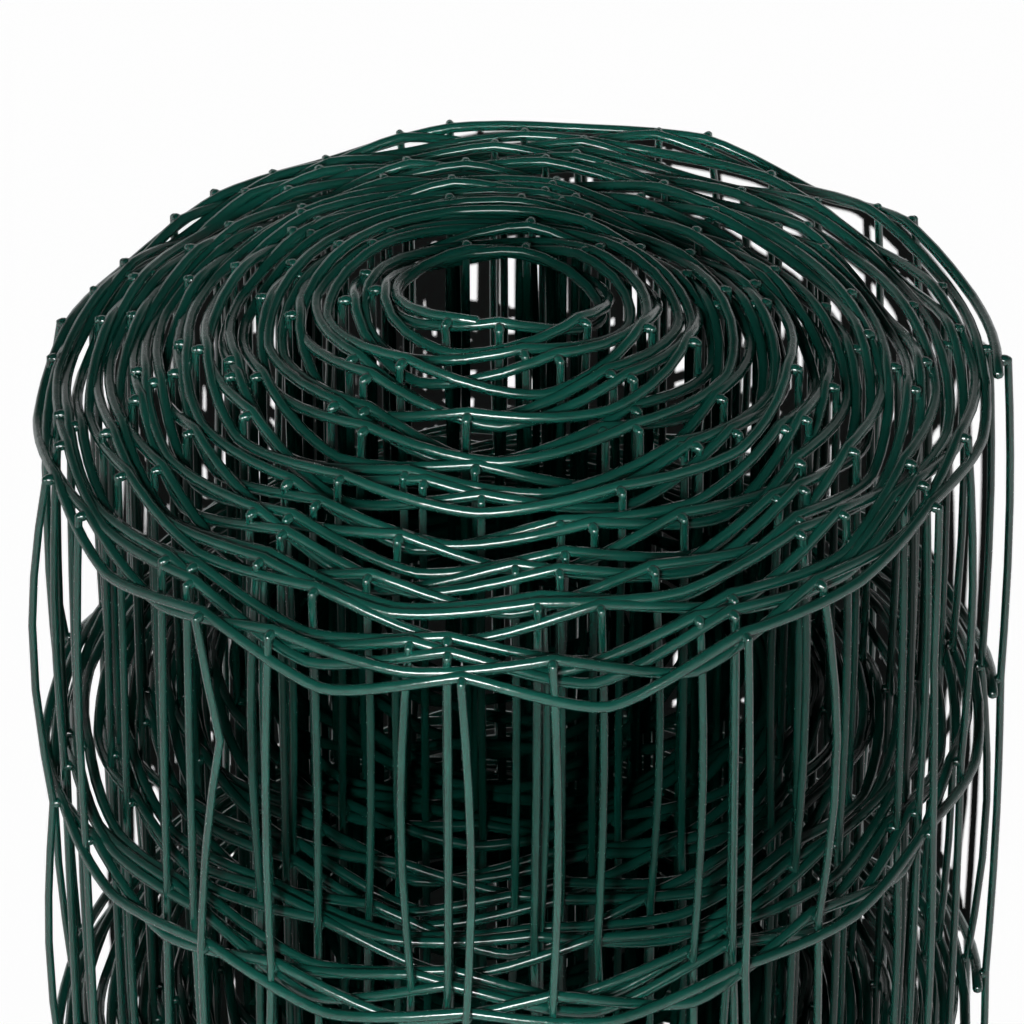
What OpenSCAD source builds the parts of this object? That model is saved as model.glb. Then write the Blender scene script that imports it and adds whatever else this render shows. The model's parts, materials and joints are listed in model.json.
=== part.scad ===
// Roll of welded wire fencing, standing on its end.
// The rolled-up mesh is one turned solid around its open bore. Each turn of the
// fencing shows on both ends as a thin wall with its line wire along the edge:
// flush with the top, and just above the cut wire ends that the roll stands on.
// The turns step up towards the bore, because the roll has telescoped a little.

/* [Roll] */
// Width of the fencing, which is the height of each turn
fence_h = 1020; // [800:10:2000]
// Outside diameter over the line wires of the outermost turn
outer_d = 246; // [220:2:400]
// Clear diameter inside the innermost turn
bore_d = 45; // [36:1:80]
// How far the innermost turn stands above the outermost one
crown_rise = 30; // [2:1:30]

/* [Turns] */
// Number of turns that show on each end, fewer than are wound so that their gaps stay open
turns = 24; // [12:1:24]
// Thickness of a turn between its edge wires
turn_t = 1.5; // [1.1:0.1:1.7]
// Depth of the gaps between the turns at each end
gap_depth = 14; // [12:1:30]

/* [Wire] */
// Diameter of the plastic-coated line wire along each edge of a turn
line_d = 2.8; // [1.8:0.1:3]
// Length of the cut wire ends from the lowest line wire down to the foot
foot_len = 9.5; // [4:0.5:10]

/* [Hidden] */
$fn = 96;

bore_r = bore_d / 2;
line_r = line_d / 2;

// The middle of the innermost and the outermost turn, and the step between turns
first_turn_r = bore_r + turn_t / 2;
last_turn_r = outer_d / 2 - line_r;
turn_pitch = (last_turn_r - first_turn_r) / (turns - 1);

// A turn's place: its radius, and the height of its foot, which is most at the bore
function turn_r(turn) = first_turn_r + turn_pitch * turn;
function foot_z(turn) = crown_rise * (turns - 1 - turn) / (turns - 1);

// Section of one turn: a wall with a square-cut foot and its two edge wires
module turn_section(turn) {
    translate([turn_r(turn), foot_z(turn)]) {
        translate([-turn_t / 2, 0])
            square([turn_t, fence_h - line_r]);
        for (wire_z = [foot_len, fence_h - line_r])
            translate([0, wire_z])
                circle(d = line_d);
    }
}

// Section of the packed turns between the two ends, set back from each end by the gap depth
module packed_section() {
    inner_foot = foot_z(0);
    outer_foot = foot_z(turns - 1);
    polygon([
        [first_turn_r, inner_foot + gap_depth],
        [last_turn_r, outer_foot + gap_depth],
        [last_turn_r, outer_foot + fence_h - gap_depth],
        [first_turn_r, inner_foot + fence_h - gap_depth],
    ]);
}

// The whole roll, with the bore kept clear of the innermost turn's wires
module mesh_roll() {
    color("darkgreen")
        rotate_extrude()
            difference() {
                union() {
                    packed_section();
                    for (turn = [0 : turns - 1])
                        turn_section(turn);
                }
                square([bore_r, fence_h + crown_rise]);
            }
}

mesh_roll();
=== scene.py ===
"""Roll of green plastic-coated welded wire fencing, standing on its end in soft studio light.

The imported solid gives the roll's outside, bore and height. The mesh is wound here in its place:
crimped line wires along one spiral, stays across them, and a coated weld wherever the two cross.
"""
import json
import math

import bpy
import numpy as np
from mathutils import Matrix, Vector


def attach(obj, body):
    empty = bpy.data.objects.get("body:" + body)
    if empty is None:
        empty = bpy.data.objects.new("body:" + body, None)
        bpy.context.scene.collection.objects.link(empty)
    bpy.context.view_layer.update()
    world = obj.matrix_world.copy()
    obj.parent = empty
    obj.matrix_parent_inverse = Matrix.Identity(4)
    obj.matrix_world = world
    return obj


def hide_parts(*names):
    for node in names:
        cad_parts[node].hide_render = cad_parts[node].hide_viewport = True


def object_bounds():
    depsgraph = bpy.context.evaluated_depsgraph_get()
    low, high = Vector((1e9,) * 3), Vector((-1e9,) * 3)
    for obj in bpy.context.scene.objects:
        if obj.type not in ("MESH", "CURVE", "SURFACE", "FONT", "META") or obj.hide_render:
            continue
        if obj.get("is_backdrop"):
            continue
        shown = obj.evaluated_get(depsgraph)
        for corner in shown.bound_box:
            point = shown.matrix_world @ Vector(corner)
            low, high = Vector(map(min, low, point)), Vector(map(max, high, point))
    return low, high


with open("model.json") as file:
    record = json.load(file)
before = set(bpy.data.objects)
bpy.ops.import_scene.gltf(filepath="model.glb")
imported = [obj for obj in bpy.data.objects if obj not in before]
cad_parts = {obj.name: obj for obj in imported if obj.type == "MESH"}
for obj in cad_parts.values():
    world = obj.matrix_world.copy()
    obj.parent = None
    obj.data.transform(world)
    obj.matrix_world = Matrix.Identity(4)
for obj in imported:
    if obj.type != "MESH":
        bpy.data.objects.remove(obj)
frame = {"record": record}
cad_low, cad_high = (list(corner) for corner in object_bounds())

MM = 0.001
BODY = "root"
NODE = "mesh_roll"
SLOT = "green_pvc"

# Wire and mesh, in metres
FENCE_H = 1.02
LINE_D = 2.8 * MM
STAY_D = 2.1 * MM
LINE_R = LINE_D / 2
STAY_R = STAY_D / 2
CELL_W = 69 * MM
ROWS = 11
TOP_ROW = ROWS - 1
# From the lowest line wire down to the foot, and from the first and last welds to the line wires' ends
FOOT_LEN = 9.5 * MM
END_LEN = 7 * MM
# A stay is pressed this far into the line wires that it is welded to
WELD_SINK = 0.3 * MM
STAY_OFFSET = LINE_R + STAY_R - WELD_SINK
# How far the welds are out of place along the fencing, and how much the stays lean
WELD_JITTER = 0.6 * MM
LEAN = 0.004

# The roll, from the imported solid
BORE_R = next(m for m in frame["record"]["mounts"] if m["name"] == "bore")["dims"]["r_mm"] * MM
BORE_CLEARANCE = 0.7 * MM
OUTER_INSET = 1.5 * MM
ROLL_R = cad_high[0]
CROWN_RISE = cad_high[2] - FENCE_H
INNER_R = BORE_R + LINE_R + BORE_CLEARANCE
OUTER_R = ROLL_R - OUTER_INSET

# Winding: angles are seen from above, from the front (-Y) towards the right (+X)
TURNS = 31.75
WINDING_SAMPLES = 24000
OUTER_END_ANGLE = math.radians(82)
FRONT_WELD_ANGLE = -0.11
# The turns lie farther apart near the bore than outside
SPREAD = 0.88
# The winding stays at the bore for this many turns before the spiral opens
FIRST_TURN = 1.2
# The turns are loose at the right of the back
LOOSE_ANGLE = math.radians(140)
LOOSE_WIDTH = math.radians(50)
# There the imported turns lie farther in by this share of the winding, and the outer ones fill the room
LOOSEN = 0.14
# There the outer turns also gather in bunches, with gaps between
GATHER = 0.8 * MM
GATHER_TURNS = 2.7
BORE_SHIFT = Vector((-5.0 * MM, 0.4 * MM))
# Where the outer turns stand out or in: angle, width and amount
OUT_OF_ROUND = ((-0.11, 0.35, 2.5 * MM), (1.05, 0.3, -3.0 * MM), (2.3, 0.5, 2.0 * MM))
# The outermost turn has slid up, by twice this on the right and not at all on the left
OUTER_TILT = 4.3 * MM
INNER_RISE = CROWN_RISE + 6.5 * MM
# The innermost turns have sunk at the back
CORE_SINK = 9 * MM
CORE_TURNS = 10
# The turns are slacker between the two ends of the roll than at its ends
BULGE = 5 * MM
BULGE_REACH = 0.09

# Unevenness of the turns: how far apart its swings are along the fencing, and how far they go
SLOW_SWING = 0.4
SLOW_WOBBLE = 0.9 * MM
QUICK_SWING = 0.11
QUICK_WOBBLE = 0.2 * MM
OUTER_QUICK_WOBBLE = 0.9 * MM
LOOSE_SWING = 0.05
LOOSE_WOBBLE = 2.2 * MM
LIFT_SWING = 0.2
LIFT_WOBBLE = 2.0 * MM
LOOSE_LIFT_SWING = 0.12
LOOSE_LIFT_WOBBLE = 3.0 * MM
# The swings are spaced along a rough length, which grows slowly at the bore and faster outside
ROUGH_LENGTH = 10
INNER_PACE = 0.2
OUTER_PACE = 1.8

# Crimps: one dip half-way between two welds, its full depth, and the least share of it
CRIMP_DEPTH = 11 * MM
CRIMP_LEAST = 0.2
# The dips of the innermost turn are shallower, by this factor
INNER_CRIMP = 0.75
# The lowest line wire stays this far above the floor
FLOOR_GAP = 1 * MM
# How round the bottom of a dip is, in half cells, and how much of the dip is a vee rather than a wave
CRIMP_VALLEY = 0.09
CRIMP_VEE = 0.7
CRIMP_STEPS = np.array([0.0, 0.08, 0.2, 0.31, 0.39, 0.45, 0.5, 0.55, 0.61, 0.69, 0.8, 0.92])
# The dips that the photograph shows in the three cells in front, from right to left, in the two top rows
TOP_DIPS = np.array([0.4, 10.5, 8.5]) * MM
SECOND_DIPS = np.array([1.5, 5.0, 6.0]) * MM
# Half-way between two welds a line wire stands out from the web, by this much at the bore and outside
INNER_CORNER = 3.4 * MM
OUTER_CORNER = 1.6 * MM
# It stands in at the welds, by this share of that
CORNER_IN = 0.3
WIRE_SWING = 0.08
WIRE_WOBBLE = 0.3 * MM

# Stays: where along a span between two line wires their points lie, and in how many pieces they are made
SPAN_STEPS = np.array([0.15, 0.35, 0.55, 0.7, 0.85])
STAY_GROUPS = 4
# How far they bow sideways and outwards, and how much more in the outer turns
SIDE_BOW = 0.6 * MM
OUTER_SIDE_BOW = 1.6 * MM
OUT_BOW = 0.4 * MM
OUTER_OUT_BOW = 4.2 * MM
# Stays bent in the top span: which one from the front stay, where up the span, and how far along the fencing
BENT_STAYS = ((1, 0.7, -9.0 * MM), (-2, 0.55, 2.2 * MM))
# The stays at the free end bow outwards less
END_STAYS = 2
END_STAY_BOW = 0.25

# Welds: half sizes along the line wire, outwards and up, and how much they differ
WELD_SEGMENTS = 8
WELD_RINGS = 6
WELD_SIZE = Vector((1.4, 1.9, 1.35)) * MM
WELD_UNEVEN = 0.1
# Welds sag a little below the middle of the line wire
WELD_DROP = 0.4 * MM

TUBE_SIDES = 8
# The rounded end of a tube: how far it stands out and how wide it is, as shares of the tube's radius
CAP_LEN = 0.45
CAP_WIDTH = 0.6

# Painted shade: how deep the light is taken to come in between the turns, past a lit skin on the outside,
# and from the two ends; deeper in, the coating's colour and gloss are painted darker
LIT_SKIN = 3 * MM
SIDE_REACH = 26 * MM
END_REACH = 8.5 * MM
# The share of the painted light that is left deep inside, and the share at which the painted-out gloss is
# gone
DEEP_SHADE = 0.07
DULL_SHADE = 0.2

# Coating: its colours, and its roughness where it is most and least glossy
DARK_GREEN = (0.003, 0.064, 0.046, 1)
LIGHT_GREEN = (0.006, 0.1, 0.074, 1)
ROUGHNESS = (0.1, 0.28)

# Floor: half its width, how white it is where it is seen, and how white where it lights the roll from below
FLOOR_REACH = 30.0
FLOOR_WHITE = 0.98
FLOOR_BOUNCE = 0.15
# Its lamp, a little behind and above the camera, which leaves the roll's shadow behind the roll
FLOOR_LAMP = Vector((-0.0155, -1.4257, 1.9965))
FLOOR_LAMP_R = 1 * MM
# The distance from this lamp at which the floor's matt white is as white as stated
EVEN_AT = 3.0
# Painted light: a glow lightens the floor's shadow by this much up to the first distance behind the roll,
# and not from the second on
PAINTED_SHADOW_GLOW = 0.55
LIGHT_SHADOW_Y = 0.4
DEEP_SHADOW_Y = 0.925

# How much of the white background shows in the gloss of the coating
GLOSS_SHARE = 0.6
# The white surroundings fade between these angles above the horizon
WALL_WHITE_TO = math.radians(8)
WALL_DARK_FROM = math.radians(40)
WALL_DARK = 0.06
# Their own light on the roll is faint
SOFT_LIGHT = 0.004

random = np.random.default_rng(11)


def smooth_noise(position, spacing):
    """Random values from -1 to 1 every spacing along a line, joined smoothly."""
    cell = (position - position.min()) / spacing
    index = cell.astype(int)
    knots = random.uniform(-1, 1, index.max() + 2)
    share = cell - index
    blend = share * share * (3 - 2 * share)
    return knots[index] * (1 - blend) + knots[index + 1] * blend


def near_angle(angle, centre, width):
    """1 at the centre angle, falling to 0 a few widths away."""
    apart = (angle - centre + np.pi) % (2 * np.pi) - np.pi
    return np.exp(-((apart / width) ** 2))


class Winding:
    """The spiral that the fencing lies along, seen from above, by its length from the bore outwards."""

    def __init__(self):
        turn = np.linspace(0, TURNS, WINDING_SAMPLES)
        self.turn = turn
        self.share = np.clip((turn - FIRST_TURN) / (TURNS - FIRST_TURN), 0, 1)
        self.angle = OUTER_END_ANGLE + 2 * np.pi * (TURNS - turn)
        outer = self.share**3
        loose = near_angle(self.angle, LOOSE_ANGLE, LOOSE_WIDTH)
        pace = INNER_PACE + (OUTER_PACE - INNER_PACE) * self.share
        rough_length = np.cumsum(pace) * ROUGH_LENGTH / WINDING_SAMPLES

        wobble = SLOW_WOBBLE * smooth_noise(rough_length, SLOW_SWING)
        quick = QUICK_WOBBLE + OUTER_QUICK_WOBBLE * outer
        wobble = wobble + quick * smooth_noise(rough_length, QUICK_SWING)
        wobble = wobble + LOOSE_WOBBLE * loose * outer * smooth_noise(rough_length, LOOSE_SWING)
        # 1 two thirds of the way out, and 0 at the bore and outside
        packed = 27 / 4 * self.share**2 * (1 - self.share)
        way_out = self.share**SPREAD - LOOSEN * loose * packed
        radius = INNER_R + (OUTER_R - INNER_R) * way_out + wobble
        radius = radius + GATHER * loose * outer * np.sin(2 * np.pi * turn / GATHER_TURNS)
        for centre, width, amount in OUT_OF_ROUND:
            radius = radius + amount * outer * near_angle(self.angle, centre, width)
        self.x = radius * np.sin(self.angle) + BORE_SHIFT.x * (1 - self.share)
        self.y = -radius * np.cos(self.angle) + BORE_SHIFT.y * (1 - self.share)

        tilt = OUTER_TILT * (1 + np.sin(self.angle)) * outer
        sunk = CORE_SINK * np.exp(-((turn / CORE_TURNS) ** 2)) * (1 - np.cos(self.angle)) / 2
        lift = INNER_RISE * (1 - self.share) + tilt - sunk
        lift = lift + LIFT_WOBBLE * smooth_noise(rough_length, LIFT_SWING)
        lift = lift + LOOSE_LIFT_WOBBLE * loose * outer * smooth_noise(rough_length, LOOSE_LIFT_SWING)
        self.lift = np.maximum(lift, 0)

        steps = np.hypot(np.diff(self.x), np.diff(self.y))
        self.length = np.concatenate([[0.0], np.cumsum(steps)])
        self.total = self.length[-1]

    def at(self, length):
        """Share of the way out, angle, place seen from above, and lift, at these lengths."""
        values = (self.share, self.angle, self.x, self.y, self.lift)
        return [np.interp(length, self.length, value) for value in values]

    def length_at(self, angle):
        """Length at which the outermost turn passes this angle."""
        turn = TURNS - ((angle - OUTER_END_ANGLE) % (2 * np.pi)) / (2 * np.pi)
        return np.interp(turn, self.turn, self.length)


winding = Winding()

# Where along the fencing each stay stands, and how high each line wire runs
front_length = winding.length_at(FRONT_WELD_ANGLE)
first_weld = (front_length - END_LEN) % CELL_W + END_LEN
stay_count = int((winding.total - END_LEN - first_weld) / CELL_W) + 1
front_stay = round((front_length - first_weld) / CELL_W)
row_z = np.linspace(FOOT_LEN, FENCE_H - LINE_R, ROWS)
weld_length = first_weld + CELL_W * np.arange(stay_count)
weld_length = weld_length + random.uniform(-WELD_JITTER, WELD_JITTER, stay_count)
lean = random.normal(0, LEAN, stay_count)
# One line for each stay, one column for each row
weld_lengths = weld_length[:, None] + lean[:, None] * (row_z - row_z[TOP_ROW])

crimp_depths = CRIMP_DEPTH * random.uniform(CRIMP_LEAST, 1, (stay_count, ROWS))
crimp_depths *= INNER_CRIMP + (1 - INNER_CRIMP) * winding.at(weld_length)[0][:, None]
crimp_depths[:, 0] *= (FOOT_LEN - LINE_R - FLOOR_GAP) / CRIMP_DEPTH
front_cells = slice(front_stay - len(TOP_DIPS) + 1, front_stay + 1)
crimp_depths[front_cells, TOP_ROW] = TOP_DIPS
crimp_depths[front_cells, TOP_ROW - 1] = SECOND_DIPS


def bulge(height):
    """Share of the full bulge at a height above the floor."""
    to_end = np.clip(np.minimum(height, FENCE_H - height), 0, None)
    return 1 - np.exp(-to_end / BULGE_REACH)


def crimp_shape(phase):
    """Dip of a line wire between two welds: 0 at the welds and 1 at the valley half-way."""
    side = np.abs(2 * phase - 1)
    rounded = np.sqrt(side**2 + CRIMP_VALLEY**2) - CRIMP_VALLEY
    vee = 1 - rounded / (math.sqrt(1 + CRIMP_VALLEY**2) - CRIMP_VALLEY)
    wave = 0.5 + 0.5 * np.cos(np.pi * side)
    return CRIMP_VEE * vee + (1 - CRIMP_VEE) * wave


def web_points(length, height, outward):
    """Points on the wound web, at lengths along it, heights across it and distances outwards from it."""
    share, angle, x, y, lift = winding.at(length)
    outward = outward + BULGE * share**2 * bulge(height)
    return np.stack([x + outward * np.sin(angle), y - outward * np.cos(angle), height + lift], -1)


def outward_direction(length):
    """Unit vectors pointing straight out of the web, at lengths along it."""
    angle = winding.at(length)[1]
    return np.stack([np.sin(angle), -np.cos(angle), np.zeros_like(angle)], -1)


def unit(vectors):
    """The vectors at length 1."""
    return vectors / np.linalg.norm(vectors, axis=-1, keepdims=True)


def tubes(paths, reference, radius):
    """Vertices and faces of round-ended tubes along paths, an array of tubes, points and coordinates."""
    first = paths[:, :1] + unit(paths[:, :1] - paths[:, 1:2]) * radius * CAP_LEN
    last = paths[:, -1:] + unit(paths[:, -1:] - paths[:, -2:-1]) * radius * CAP_LEN
    points = np.concatenate([first, paths, last], axis=1)
    reference = np.concatenate([reference[:, :1], reference, reference[:, -1:]], axis=1)
    count, rings = points.shape[:2]
    along = unit(np.gradient(points, axis=1))
    out = unit(reference - (reference * along).sum(-1, keepdims=True) * along)
    side = np.cross(along, out)
    turn = 2 * np.pi * np.arange(TUBE_SIDES) / TUBE_SIDES
    size = np.full(rings, radius)
    size[[0, -1]] *= CAP_WIDTH
    ring = out[:, :, None] * np.cos(turn)[:, None] + side[:, :, None] * np.sin(turn)[:, None]
    vertices = points[:, :, None] + ring * size[:, None, None]

    index = np.arange(count * rings * TUBE_SIDES).reshape(count, rings, TUBE_SIDES)
    beside = np.roll(index, -1, axis=2)
    quads = np.stack([index[:, :-1], beside[:, :-1], beside[:, 1:], index[:, 1:]], -1).reshape(-1, 4)
    caps = np.concatenate([index[:, 0, ::-1], index[:, -1]])
    return vertices.reshape(-1, 3), quads.tolist() + caps.tolist()


def line_wire(row):
    """Path of one line wire, with a dip between each two welds, and the outward direction along it."""
    weld_at = weld_lengths[:, row]
    phase = np.tile(CRIMP_STEPS, stay_count - 1)
    cell = np.repeat(np.arange(stay_count - 1), len(CRIMP_STEPS))
    length = weld_at[cell] + np.diff(weld_at)[cell] * phase
    length = np.concatenate([[weld_at[0] - END_LEN], length, [weld_at[-1], weld_at[-1] + END_LEN]])
    depth = np.concatenate([[0.0], crimp_depths[cell, row] * crimp_shape(phase), [0.0, 0.0]])
    corner = np.concatenate([[0.0], 1 - np.abs(2 * phase - 1), [0.0, 0.0]]) - CORNER_IN
    share = winding.at(length)[0]
    outward = corner * (INNER_CORNER + (OUTER_CORNER - INNER_CORNER) * share)
    outward = outward + WIRE_WOBBLE * smooth_noise(length, WIRE_SWING)
    path = web_points(length, np.full_like(length, row_z[row]), outward)
    path[:, 2] -= depth
    return path, outward_direction(length)


def stay_paths(stays):
    """Paths of some stays, bowed in each span from foot to top, and the outward directions along them."""
    count = len(stays)
    share = winding.at(weld_length[stays])[0]
    steps = len(SPAN_STEPS) + 1
    heights = [np.array([STAY_R * CAP_LEN])]
    for row in range(TOP_ROW):
        heights.append(row_z[row] + (row_z[row + 1] - row_z[row]) * np.concatenate([[0.0], SPAN_STEPS]))
    heights = np.concatenate([*heights, [row_z[TOP_ROW] - STAY_R, row_z[TOP_ROW]]])
    lengths = weld_length[stays][:, None] + lean[stays][:, None] * (heights - row_z[TOP_ROW])

    # One line for each span, one column for each point
    bow_shape = np.zeros((TOP_ROW, len(heights)))
    for row in range(TOP_ROW):
        start = 1 + row * steps
        bow_shape[row, start + 1:start + steps] = np.sin(np.pi * SPAN_STEPS)
    sideways = random.normal(0, 1, (count, TOP_ROW)) * (SIDE_BOW + OUTER_SIDE_BOW * share**6)[:, None]
    outwards = np.abs(random.uniform(-1, 1, (count, TOP_ROW)))
    outwards *= (OUT_BOW + OUTER_OUT_BOW * share**12)[:, None]
    outwards[stays >= stay_count - END_STAYS] *= END_STAY_BOW
    for step, _bend_at, _amount in BENT_STAYS:
        sideways[stays == front_stay + step, -1] = 0
    lengths = lengths + sideways @ bow_shape

    top_span = slice(2 + (TOP_ROW - 1) * steps, 1 + TOP_ROW * steps)
    for step, bend_at, amount in BENT_STAYS:
        bent = stays == front_stay + step
        lengths[bent, top_span] += amount * np.interp(SPAN_STEPS, [0, bend_at, 1], [0, 1, 0])
    outward = STAY_OFFSET + outwards @ bow_shape
    height = np.broadcast_to(heights, lengths.shape)
    return web_points(lengths, height, outward), outward_direction(lengths)


def weld_template():
    """A unit ball as vertices and faces, its poles up and down."""
    turn = 2 * np.pi * np.arange(WELD_SEGMENTS) / WELD_SEGMENTS
    tilt = np.pi * np.arange(1, WELD_RINGS) / WELD_RINGS
    rings = [
        [math.sin(down) * math.cos(around), math.sin(down) * math.sin(around), math.cos(down)]
        for down in tilt
        for around in turn
    ]
    vertices = np.array([[0, 0, 1.0], *rings, [0, 0, -1.0]])
    bottom = len(vertices) - 1
    last = 1 + (WELD_RINGS - 2) * WELD_SEGMENTS
    faces = []
    for segment in range(WELD_SEGMENTS):
        beside = (segment + 1) % WELD_SEGMENTS
        faces.append([0, 1 + segment, 1 + beside])
        for ring in range(WELD_RINGS - 2):
            upper = 1 + ring * WELD_SEGMENTS
            lower = upper + WELD_SEGMENTS
            faces.append([upper + segment, lower + segment, lower + beside, upper + beside])
        faces.append([bottom, last + beside, last + segment])
    return vertices, faces


def welds(row):
    """Vertices and faces of the coated welds along one line wire."""
    ball, ball_faces = weld_template()
    length = weld_lengths[:, row]
    out = outward_direction(length)
    along = np.stack([-out[:, 1], out[:, 0], np.zeros(len(out))], -1)
    up = np.broadcast_to([0.0, 0.0, 1.0], out.shape)
    middle = web_points(length, np.full_like(length, row_z[row] - WELD_DROP), STAY_OFFSET / 2)
    size = 1 + WELD_UNEVEN * random.uniform(-1, 1, (stay_count, 1, 1))
    weld_axes = np.stack([along * WELD_SIZE.x, out * WELD_SIZE.y, up * WELD_SIZE.z], 1)
    vertices = middle[:, None] + (ball @ weld_axes) * size
    starts = range(0, stay_count * len(ball), len(ball))
    faces = [[corner + start for corner in face] for start in starts for face in ball_faces]
    return vertices.reshape(-1, 3), faces


def painted_shade(points):
    """Painted shade: 1 on the outside and at the ends of the roll, and less the deeper a point lies between
    the turns; it darkens the coating's colour and gloss.
    """
    radius = np.hypot(points[:, 0], points[:, 1])
    share = np.clip((radius - INNER_R) / (OUTER_R - INNER_R), 0, 1) ** (1 / SPREAD)
    lift = INNER_RISE * (1 - share)
    from_outside = np.clip(OUTER_R + BULGE - LIT_SKIN - radius, 0, None)
    from_end = np.clip(np.minimum(FENCE_H + lift - points[:, 2], points[:, 2] - lift), 0, None)
    light = np.maximum(np.exp(-from_outside / SIDE_REACH), np.exp(-from_end / END_REACH))
    return DEEP_SHADE + (1 - DEEP_SHADE) * light


def set_nodes(material):
    """Empties a material's node tree and returns its nodes, links and a new output."""
    material.use_nodes = True
    nodes = material.node_tree.nodes
    nodes.clear()
    return nodes, material.node_tree.links, nodes.new("ShaderNodeOutputMaterial")


def calculate(nodes, links, operation, first, second):
    """Output of a math node that works on one output and on another output or a number."""
    node = nodes.new("ShaderNodeMath")
    node.operation = operation
    links.new(first, node.inputs[0])
    if isinstance(second, (int, float)):
        node.inputs[1].default_value = second
    else:
        links.new(second, node.inputs[1])
    return node.outputs["Value"]


def map_range(nodes, links, value, source, target):
    """An output's value carried over from one range to another, each given by its two ends."""
    node = nodes.new("ShaderNodeMapRange")
    for name, end in zip(("From Min", "From Max", "To Min", "To Max"), (*source, *target)):
        node.inputs[name].default_value = end
    links.new(value, node.inputs["Value"])
    return node.outputs["Result"]


def mix_shaders(nodes, links, amount, first, second):
    """The first shader where the amount is 0 and the second where it is 1."""
    node = nodes.new("ShaderNodeMixShader")
    links.new(amount, node.inputs["Fac"])
    links.new(first, node.inputs[1])
    links.new(second, node.inputs[2])
    return node.outputs["Shader"]


def coated_wire_material():
    """Glossy dark green PVC, a little uneven in colour, gloss and thickness, with shade painted into its
    colour and gloss between the turns.
    """
    material = bpy.data.materials.new(SLOT)
    nodes, links, output = set_nodes(material)
    shader = nodes.new("ShaderNodeBsdfPrincipled")
    place = nodes.new("ShaderNodeTexCoord").outputs["Object"]

    def noise(scale, detail):
        node = nodes.new("ShaderNodeTexNoise")
        node.inputs["Scale"].default_value = scale
        node.inputs["Detail"].default_value = detail
        links.new(place, node.inputs["Vector"])
        return node.outputs["Fac"]

    def bump(scale, strength, distance):
        node = nodes.new("ShaderNodeBump")
        node.inputs["Strength"].default_value = strength
        node.inputs["Distance"].default_value = distance
        links.new(noise(scale, detail=2), node.inputs["Height"])
        return node

    tone = nodes.new("ShaderNodeValToRGB")
    tone.color_ramp.elements[0].position = 0.3
    tone.color_ramp.elements[0].color = DARK_GREEN
    tone.color_ramp.elements[1].position = 0.7
    tone.color_ramp.elements[1].color = LIGHT_GREEN
    links.new(noise(scale=60, detail=4), tone.inputs["Fac"])
    # Painted shade: the colour is scaled down and the gloss taken out the deeper a wire lies between the
    # turns
    painted_shade_value = nodes.new("ShaderNodeAttribute")
    painted_shade_value.attribute_name = "painted_shade"
    colour = nodes.new("ShaderNodeVectorMath")
    colour.operation = "SCALE"
    links.new(tone.outputs["Color"], colour.inputs[0])
    links.new(painted_shade_value.outputs["Fac"], colour.inputs["Scale"])
    links.new(colour.outputs["Vector"], shader.inputs["Base Color"])
    shine = map_range(nodes, links, painted_shade_value.outputs["Fac"], (DULL_SHADE, 1.0), (0.0, 1.0))
    links.new(shine, shader.inputs["Specular IOR Level"])
    roughness = map_range(nodes, links, noise(scale=240, detail=3), (0.0, 1.0), ROUGHNESS)
    links.new(roughness, shader.inputs["Roughness"])

    skin = bump(scale=1100, strength=0.25, distance=0.12 * MM)
    lumps = bump(scale=320, strength=0.35, distance=0.3 * MM)
    links.new(skin.outputs["Normal"], lumps.inputs["Normal"])
    links.new(lumps.outputs["Normal"], shader.inputs["Normal"])
    links.new(shader.outputs["BSDF"], output.inputs["Surface"])
    return material


coated_wire = coated_wire_material()


def add_piece(name, vertices, faces):
    """Makes a smooth piece of coated wire that stands for the rolled-up solid."""
    mesh = bpy.data.meshes.new(name)
    mesh.from_pydata(vertices, [], faces)
    mesh.polygons.foreach_set("use_smooth", np.ones(len(mesh.polygons), dtype=bool))
    # Painted shade on each point, which darkens the coating's colour and gloss deep between the turns
    mesh.attributes.new("painted_shade", "FLOAT", "POINT").data.foreach_set("value", painted_shade(vertices))
    mesh.materials.append(coated_wire)
    mesh.update()
    piece = bpy.data.objects.new(name, mesh)
    bpy.context.scene.collection.objects.link(piece)
    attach(piece, BODY)
    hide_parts(NODE)


for row in range(ROWS):
    path, reference = line_wire(row)
    add_piece(f"line_wire_{row + 1:02d}", *tubes(path[None], reference[None], LINE_R))
    add_piece(f"welds_{row + 1:02d}", *welds(row))
for group, stays in enumerate(np.array_split(np.arange(stay_count), STAY_GROUPS)):
    add_piece(f"stays_{group + 1}", *tubes(*stay_paths(stays), STAY_R))


def background_rays(nodes, links):
    """1 for rays that show the background to the eye or through glass, less in gloss, and 0 for others."""
    path = nodes.new("ShaderNodeLightPath").outputs
    in_gloss = calculate(nodes, links, "MULTIPLY", path["Is Glossy Ray"], GLOSS_SHARE)
    seen = calculate(nodes, links, "MAXIMUM", path["Is Camera Ray"], in_gloss)
    return calculate(nodes, links, "MAXIMUM", seen, path["Is Transmission Ray"])


def even_floor(nodes, links, level):
    """A matt white that makes up for the distance from the floor's lamp, so that its light shows evenly."""
    distance = nodes.new("ShaderNodeVectorMath")
    distance.operation = "DISTANCE"
    distance.inputs[1].default_value = FLOOR_LAMP
    links.new(nodes.new("ShaderNodeTexCoord").outputs["Object"], distance.inputs[0])
    # A lamp's light on a floor falls with the cube of the distance
    cubed = calculate(nodes, links, "POWER", distance.outputs["Value"], 3)
    matt = nodes.new("ShaderNodeBsdfDiffuse")
    links.new(calculate(nodes, links, "MULTIPLY", cubed, level / EVEN_AT**3), matt.inputs["Color"])
    return matt.outputs["BSDF"]


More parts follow.
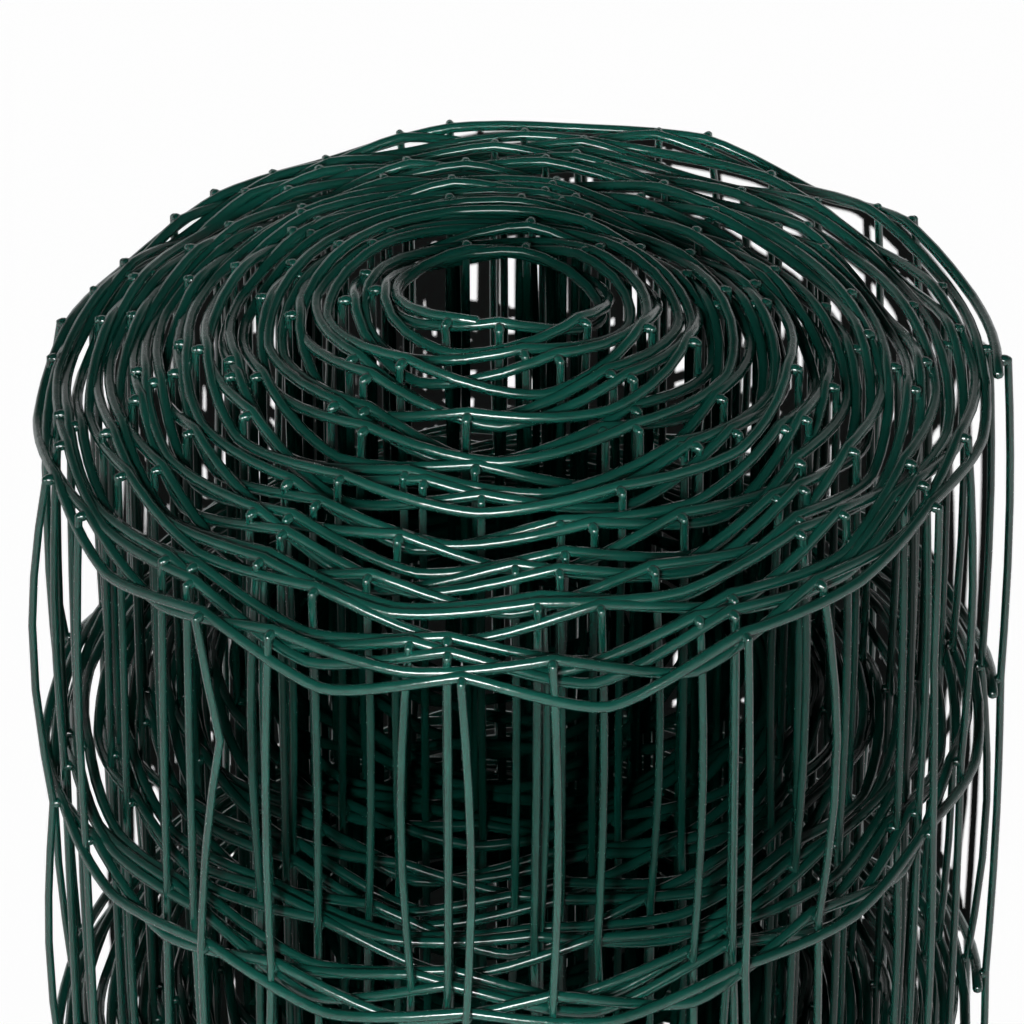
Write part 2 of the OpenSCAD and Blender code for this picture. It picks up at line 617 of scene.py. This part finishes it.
def shadow_with_painted_glow(nodes, links, matt):
    """The floor's matt white, with a painted glow that lightens its shadow round the roll."""
    place = nodes.new("ShaderNodeSeparateXYZ")
    links.new(nodes.new("ShaderNodeTexCoord").outputs["Object"], place.inputs[0])
    behind = (LIGHT_SHADOW_Y, DEEP_SHADOW_Y)
    amount = map_range(nodes, links, place.outputs["Y"], behind, (math.sqrt(PAINTED_SHADOW_GLOW), 0.0))
    # Squared, so that the grey looks evenly graded
    squared = calculate(nodes, links, "POWER", amount, 2)
    painted_glow = nodes.new("ShaderNodeEmission")
    painted_glow.inputs["Strength"].default_value = FLOOR_WHITE
    return mix_shaders(nodes, links, squared, matt, painted_glow.outputs["Emission"])


def add_floor():
    """A wide plain white floor, which keeps the roll's shadow, with a painted glow that lightens it round
    the roll.
    """
    corners = [(x * FLOOR_REACH, y * FLOOR_REACH, 0) for x, y in ((-1, -1), (1, -1), (1, 1), (-1, 1))]
    mesh = bpy.data.meshes.new("floor")
    mesh.from_pydata(corners, [], [[0, 1, 2, 3]])
    material = bpy.data.materials.new("white_floor")
    nodes, links, output = set_nodes(material)
    unseen = even_floor(nodes, links, FLOOR_BOUNCE)
    seen = shadow_with_painted_glow(nodes, links, even_floor(nodes, links, FLOOR_WHITE))
    both = mix_shaders(nodes, links, background_rays(nodes, links), unseen, seen)
    links.new(both, output.inputs["Surface"])
    # The painted glow that lightens the shadow is seen, but lights nothing
    material.cycles.emission_sampling = "NONE"
    mesh.materials.append(material)
    floor = bpy.data.objects.new("floor", mesh)
    bpy.context.scene.collection.objects.link(floor)
    floor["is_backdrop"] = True
    return floor


def set_world():
    """White where it is seen, and a softer light on the object."""
    world = bpy.data.worlds.new("studio")
    world.use_nodes = True
    nodes = world.node_tree.nodes
    links = world.node_tree.links
    nodes.clear()
    output = nodes.new("ShaderNodeOutputWorld")
    soft = nodes.new("ShaderNodeBackground")
    soft.inputs["Strength"].default_value = SOFT_LIGHT
    direction = nodes.new("ShaderNodeSeparateXYZ")
    links.new(nodes.new("ShaderNodeTexCoord").outputs["Generated"], direction.inputs[0])
    fade = (math.sin(WALL_WHITE_TO), math.sin(WALL_DARK_FROM))
    wall = map_range(nodes, links, direction.outputs["Z"], fade, (1.0, WALL_DARK))
    white = nodes.new("ShaderNodeBackground")
    links.new(wall, white.inputs["Strength"])
    seen = background_rays(nodes, links)
    both = mix_shaders(nodes, links, seen, soft.outputs["Background"], white.outputs["Background"])
    links.new(both, output.inputs["Surface"])
    bpy.context.scene.world = world


def add_lamp(name, kind, place, target):
    """A lamp at a place, aimed at a target, which the camera doesn't see."""
    lamp = bpy.data.lights.new(name, kind)
    holder = bpy.data.objects.new(name, lamp)
    holder.location = place
    holder.rotation_euler = (Vector(target) - Vector(place)).to_track_quat("-Z", "Y").to_euler()
    holder.visible_camera = False
    bpy.context.scene.collection.objects.link(holder)
    return holder


def add_floor_lamp(floor):
    """The floor's lamp, which lights nothing else."""
    holder = add_lamp("floor_lamp", "POINT", FLOOR_LAMP, (0, 0, 0))
    holder.data.shadow_soft_size = FLOOR_LAMP_R
    # The power at which the even floor is as bright as its level
    holder.data.energy = 4 * math.pi**2 * EVEN_AT**3 / FLOOR_LAMP.z
    lit = bpy.data.collections.new("lit_by_floor_lamp")
    lit.objects.link(floor)
    holder.light_linking.receiver_collection = lit


def add_softbox(name, place, aim_z, width, depth, power):
    """A rectangular soft lamp at a place, aimed at the roll at this height."""
    holder = add_lamp(name, "AREA", place, (0, 0, aim_z))
    lamp = holder.data
    lamp.shape = "RECTANGLE"
    lamp.size = width
    lamp.size_y = depth
    lamp.energy = power
    return holder


def leave_out_floor(holder, floor):
    """Keeps a lamp's light off the floor, which has its own."""
    unlit = bpy.data.collections.new(f"not_lit_by_{holder.name}")
    unlit.objects.link(floor)
    unlit.collection_objects[0].light_linking.link_state = "EXCLUDE"
    holder.light_linking.receiver_collection = unlit


def add_key(floor):
    """A narrow upright strip in front, which lights the coating without a shine."""
    holder = add_softbox("key", (-0.15, -0.92, 1.16), aim_z=0.664, width=0.1, depth=1.2, power=0.79)
    holder.data.spread = math.radians(24)
    holder.visible_glossy = False
    leave_out_floor(holder, floor)


def add_shine(floor):
    """A wide lamp above the front that shows in the gloss alone, as bright streaks."""
    place = (-0.22, -1.05, FENCE_H + 0.45)
    holder = add_softbox("shine", place, aim_z=FENCE_H, width=0.8, depth=0.3, power=20)
    holder.visible_diffuse = False
    leave_out_floor(holder, floor)


def add_fill(name, place, size, power, floor):
    """A level soft lamp that lightens what the key leaves dark, without a shine of its own."""
    holder = add_softbox(name, place, aim_z=place[2], width=size, depth=size, power=power)
    holder.visible_glossy = False
    leave_out_floor(holder, floor)


def add_camera():
    """Looks down on the top of the roll from the front, as in the photograph."""
    back = 1.157
    above = 0.802
    right = -1.4 * MM
    pitch = 0.628
    focal_px = 5606
    frame_px = 1024
    camera = bpy.data.cameras.new("camera")
    camera.sensor_width = 36.0
    camera.lens = camera.sensor_width * focal_px / frame_px
    holder = bpy.data.objects.new("camera", camera)
    holder.location = (right, -back, FENCE_H + above)
    holder.rotation_euler = (math.pi / 2 - pitch, 0, 0)
    bpy.context.scene.collection.objects.link(holder)
    bpy.context.scene.camera = holder


floor = add_floor()
add_floor_lamp(floor)
set_world()
add_key(floor)
add_shine(floor)
add_fill("fill_left", (-0.75, 1.45, 0.5), size=0.9, power=28, floor=floor)
add_fill("fill_right", (0.75, 1.45, 0.5), size=0.9, power=28, floor=floor)
add_fill("fill_front", (-0.15, -0.9, 0.15), size=0.4, power=2.5, floor=floor)
add_camera()
bpy.context.scene.view_settings.view_transform = "Standard"
